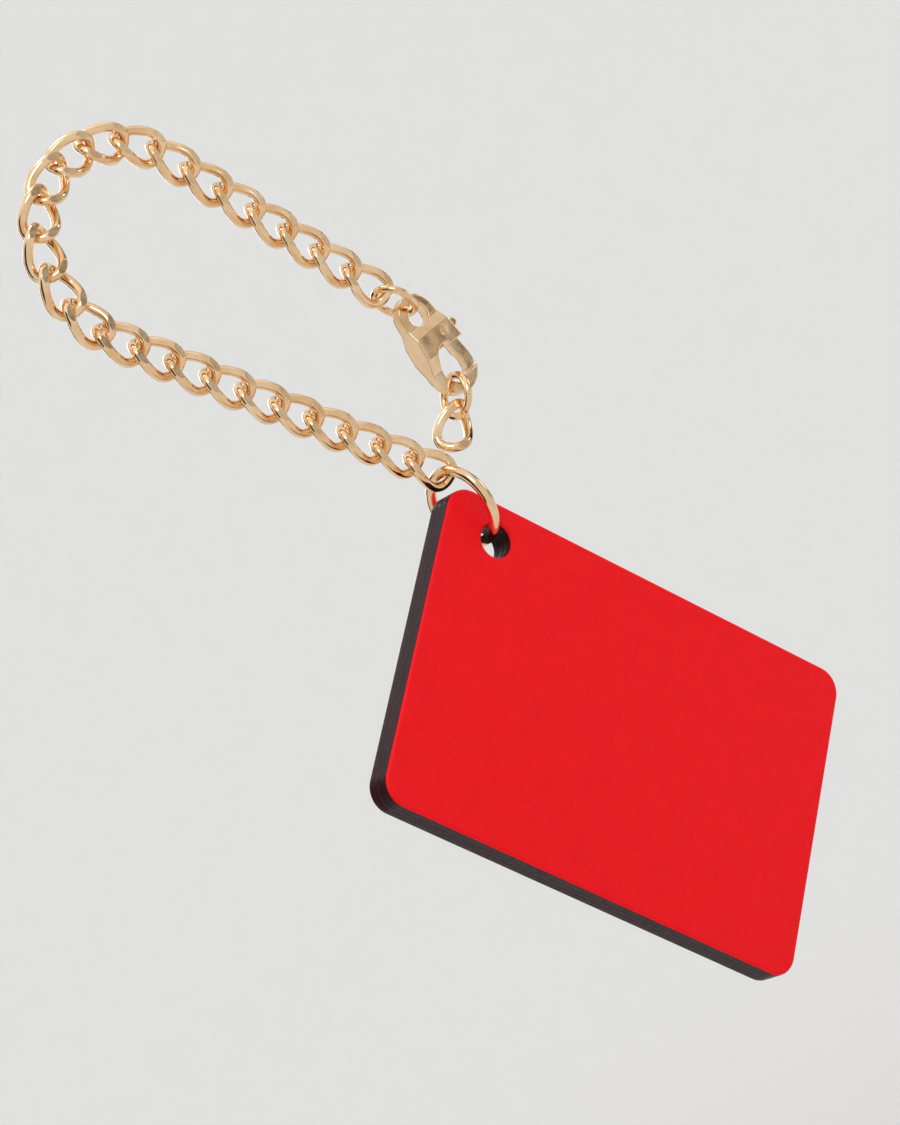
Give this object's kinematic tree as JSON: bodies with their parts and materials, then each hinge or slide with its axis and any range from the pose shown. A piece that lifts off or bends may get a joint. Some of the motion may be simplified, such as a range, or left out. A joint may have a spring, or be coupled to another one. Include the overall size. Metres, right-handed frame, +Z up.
{
  "type": "luggage tag",
  "caption": "Rectangular leather luggage tag with a card pocket, hung from a ring on a curb chain loop that closes with a sprung lobster clasp.",
  "frame": {"origin": "middle of the chain loop's upper turn, where the bag's handle passes through the loop", "axes": "+Z up with the tag hanging, -Y out of the tag's front face, +X to the right seen from the front"},
  "size_m": [0.0557, 0.0092, 0.1082],
  "materials": {
    "leather": "smooth, semi-gloss",
    "edge_leather": "painted edge",
    "gold_plate": "polished pale gold plating",
    "clear_film": "clear flexible film",
    "card": "uncoated card",
    "steel": "plain spring wire"
  },
  "bodies": {
    "handle_link": {"handle_link": "gold_plate"},
    "front_link_15": {"front_link_15": "gold_plate"},
    "front_link_14": {"front_link_14": "gold_plate"},
    "front_link_13": {"front_link_13": "gold_plate"},
    "front_link_12": {"front_link_12": "gold_plate"},
    "front_link_11": {"front_link_11": "gold_plate"},
    "front_link_10": {"front_link_10": "gold_plate"},
    "front_link_09": {"front_link_09": "gold_plate"},
    "front_link_08": {"front_link_08": "gold_plate"},
    "front_link_07": {"front_link_07": "gold_plate"},
    "front_link_06": {"front_link_06": "gold_plate"},
    "front_link_05": {"front_link_05": "gold_plate"},
    "front_link_04": {"front_link_04": "gold_plate"},
    "front_link_03": {"front_link_03": "gold_plate"},
    "front_link_02": {"front_link_02": "gold_plate"},
    "front_link_01": {"front_link_01": "gold_plate"},
    "tag_ring": {"tag_ring": "gold_plate"},
    "tag": {"front_panel": "leather", "filler": "edge_leather", "back_panel": "leather", "window_film": "clear_film"},
    "name_card": {"name_card": "card"},
    "back_link_01": {"back_link_01": "gold_plate"},
    "back_link_02": {"back_link_02": "gold_plate"},
    "back_link_03": {"back_link_03": "gold_plate"},
    "back_link_04": {"back_link_04": "gold_plate"},
    "back_link_05": {"back_link_05": "gold_plate"},
    "back_link_06": {"back_link_06": "gold_plate"},
    "back_link_07": {"back_link_07": "gold_plate"},
    "back_link_08": {"back_link_08": "gold_plate"},
    "back_link_09": {"back_link_09": "gold_plate"},
    "clasp_ring": {"clasp_ring": "gold_plate"},
    "clasp": {"clasp_body": "gold_plate", "clasp_pin": "gold_plate", "clasp_spring": "steel"},
    "clasp_lever": {"clasp_lever": "gold_plate"},
    "end_ring": {"end_ring": "gold_plate"},
    "side_link": {"side_link": "gold_plate"}
  },
  "joints": [
    {"name": "card_slide", "type": "slide", "parent": "tag", "child": "name_card", "axis": [0.8153, 0, 0.579], "range_m": [0, 0.029]},
    {"name": "clasp_lever_press", "type": "hinge", "parent": "clasp", "child": "clasp_lever", "pos_m": [0.02509, 0, -0.02291], "axis": [0, 1, 0], "range_deg": [0, 18], "stiffness_Nm_per_rad": 0.004, "springref_deg": -20.05},
    {"name": "clasp_ring_swing", "type": "hinge", "parent": "back_link_09", "child": "clasp_ring", "pos_m": [0.02213, 0, -0.01689], "axis": [0.8627, 0, 0.5057], "range_deg": [-12, 12]},
    {"name": "clasp_swing", "type": "hinge", "parent": "clasp_ring", "child": "clasp", "pos_m": [0.02268, 0, -0.01782], "axis": [-0.8627, 0, -0.5057], "range_deg": [-30, 30]},
    {"name": "end_ring_swing", "type": "hinge", "parent": "clasp", "child": "end_ring", "pos_m": [0.02315, 0, -0.02823], "axis": [0.8693, 0, -0.4943], "range_deg": [-25, 25]},
    {"name": "hanging_ring_swing", "type": "hinge", "parent": "front_link_01", "child": "tag_ring", "pos_m": [0.01554, 0, -0.03551], "axis": [1, 0, 0], "range_deg": [-8, 30]},
    {"name": "hanging_tag_swing", "type": "hinge", "parent": "tag_ring", "child": "tag", "pos_m": [0.01554, 0, -0.04236], "axis": [0, 1, 0], "range_deg": [-15, 30]},
    {"name": "side_link_bend", "type": "hinge", "parent": "end_ring", "child": "side_link", "pos_m": [0.02268, 0, -0.02905], "axis": [-0.8693, 0, 0.4943], "range_deg": [-25, 25]},
    {"name": "link_bend_front_15", "type": "hinge", "parent": "handle_link", "child": "front_link_15", "pos_m": [-0.00263, 0, 0.0105], "axis": [0.2458, 0, -0.9693], "range_deg": [-12, 12]},
    {"name": "link_bend_front_14", "type": "hinge", "parent": "front_link_15", "child": "front_link_14", "pos_m": [-0.00617, 0, 0.00887], "axis": [-0.5783, 0, 0.8158], "range_deg": [-12, 12]},
    {"name": "link_bend_front_13", "type": "hinge", "parent": "front_link_14", "child": "front_link_13", "pos_m": [-0.00889, 0, 0.00607], "axis": [0.8332, 0, -0.553], "range_deg": [-12, 12]},
    {"name": "link_bend_front_12", "type": "hinge", "parent": "front_link_13", "child": "front_link_12", "pos_m": [-0.01041, 0, 0.00248], "axis": [-0.9764, 0, 0.2159], "range_deg": [-12, 12]},
    {"name": "link_bend_front_11", "type": "hinge", "parent": "front_link_12", "child": "front_link_11", "pos_m": [-0.01054, 0, -0.00142], "axis": [0.9887, 0, 0.15], "range_deg": [-12, 12]},
    {"name": "link_bend_front_10", "type": "hinge", "parent": "front_link_11", "child": "front_link_10", "pos_m": [-0.00926, 0, -0.0051], "axis": [-0.8684, 0, -0.4959], "range_deg": [-12, 12]},
    {"name": "link_bend_front_09", "type": "hinge", "parent": "front_link_10", "child": "front_link_09", "pos_m": [-0.00674, 0, -0.00808], "axis": [0.7629, 0, 0.6465], "range_deg": [-25, 25]},
    {"name": "link_bend_front_08", "type": "hinge", "parent": "front_link_09", "child": "front_link_08", "pos_m": [-0.00422, 0, -0.01105], "axis": [-0.7629, 0, -0.6465], "range_deg": [-25, 25]},
    {"name": "link_bend_front_07", "type": "hinge", "parent": "front_link_08", "child": "front_link_07", "pos_m": [-0.0017, 0, -0.01403], "axis": [0.7629, 0, 0.6465], "range_deg": [-25, 25]},
    {"name": "link_bend_front_06", "type": "hinge", "parent": "front_link_07", "child": "front_link_06", "pos_m": [0.00083, 0, -0.017], "axis": [-0.7629, 0, -0.6465], "range_deg": [-25, 25]},
    {"name": "link_bend_front_05", "type": "hinge", "parent": "front_link_06", "child": "front_link_05", "pos_m": [0.00335, 0, -0.01998], "axis": [0.7629, 0, 0.6465], "range_deg": [-25, 25]},
    {"name": "link_bend_front_04", "type": "hinge", "parent": "front_link_05", "child": "front_link_04", "pos_m": [0.00587, 0, -0.02295], "axis": [-0.7629, 0, -0.6465], "range_deg": [-25, 25]},
    {"name": "link_bend_front_03", "type": "hinge", "parent": "front_link_04", "child": "front_link_03", "pos_m": [0.00839, 0, -0.02593], "axis": [0.7629, 0, 0.6465], "range_deg": [-25, 25]},
    {"name": "link_bend_front_02", "type": "hinge", "parent": "front_link_03", "child": "front_link_02", "pos_m": [0.01091, 0, -0.0289], "axis": [-0.7629, 0, -0.6465], "range_deg": [-25, 25]},
    {"name": "link_bend_front_01", "type": "hinge", "parent": "front_link_02", "child": "front_link_01", "pos_m": [0.01343, 0, -0.03188], "axis": [0.7629, 0, 0.6465], "range_deg": [-25, 25]},
    {"name": "link_bend_back_01", "type": "hinge", "parent": "handle_link", "child": "back_link_01", "pos_m": [0.00126, 0, 0.01075], "axis": [-0.1196, 0, -0.9928], "range_deg": [-12, 12]},
    {"name": "link_bend_back_02", "type": "hinge", "parent": "back_link_01", "child": "back_link_02", "pos_m": [0.00498, 0, 0.00959], "axis": [0.469, 0, 0.8832], "range_deg": [-12, 12]},
    {"name": "link_bend_back_03", "type": "hinge", "parent": "back_link_02", "child": "back_link_03", "pos_m": [0.00804, 0, 0.00716], "axis": [-0.7555, 0, -0.6551], "range_deg": [-12, 12]},
    {"name": "link_bend_back_04", "type": "hinge", "parent": "back_link_03", "child": "back_link_04", "pos_m": [0.01001, 0, 0.00379], "axis": [0.8627, 0, 0.5057], "range_deg": [-25, 25]},
    {"name": "link_bend_back_05", "type": "hinge", "parent": "back_link_04", "child": "back_link_05", "pos_m": [0.01198, 0, 0.00043], "axis": [-0.8627, 0, -0.5057], "range_deg": [-25, 25]},
    {"name": "link_bend_back_06", "type": "hinge", "parent": "back_link_05", "child": "back_link_06", "pos_m": [0.01395, 0, -0.00294], "axis": [0.8627, 0, 0.5057], "range_deg": [-25, 25]},
    {"name": "link_bend_back_07", "type": "hinge", "parent": "back_link_06", "child": "back_link_07", "pos_m": [0.01592, 0, -0.0063], "axis": [-0.8627, 0, -0.5057], "range_deg": [-25, 25]},
    {"name": "link_bend_back_08", "type": "hinge", "parent": "back_link_07", "child": "back_link_08", "pos_m": [0.0179, 0, -0.00967], "axis": [0.8627, 0, 0.5057], "range_deg": [-25, 25]},
    {"name": "link_bend_back_09", "type": "hinge", "parent": "back_link_08", "child": "back_link_09", "pos_m": [0.01987, 0, -0.01303], "axis": [-0.8627, 0, -0.5057], "range_deg": [-25, 25]}
  ]
}
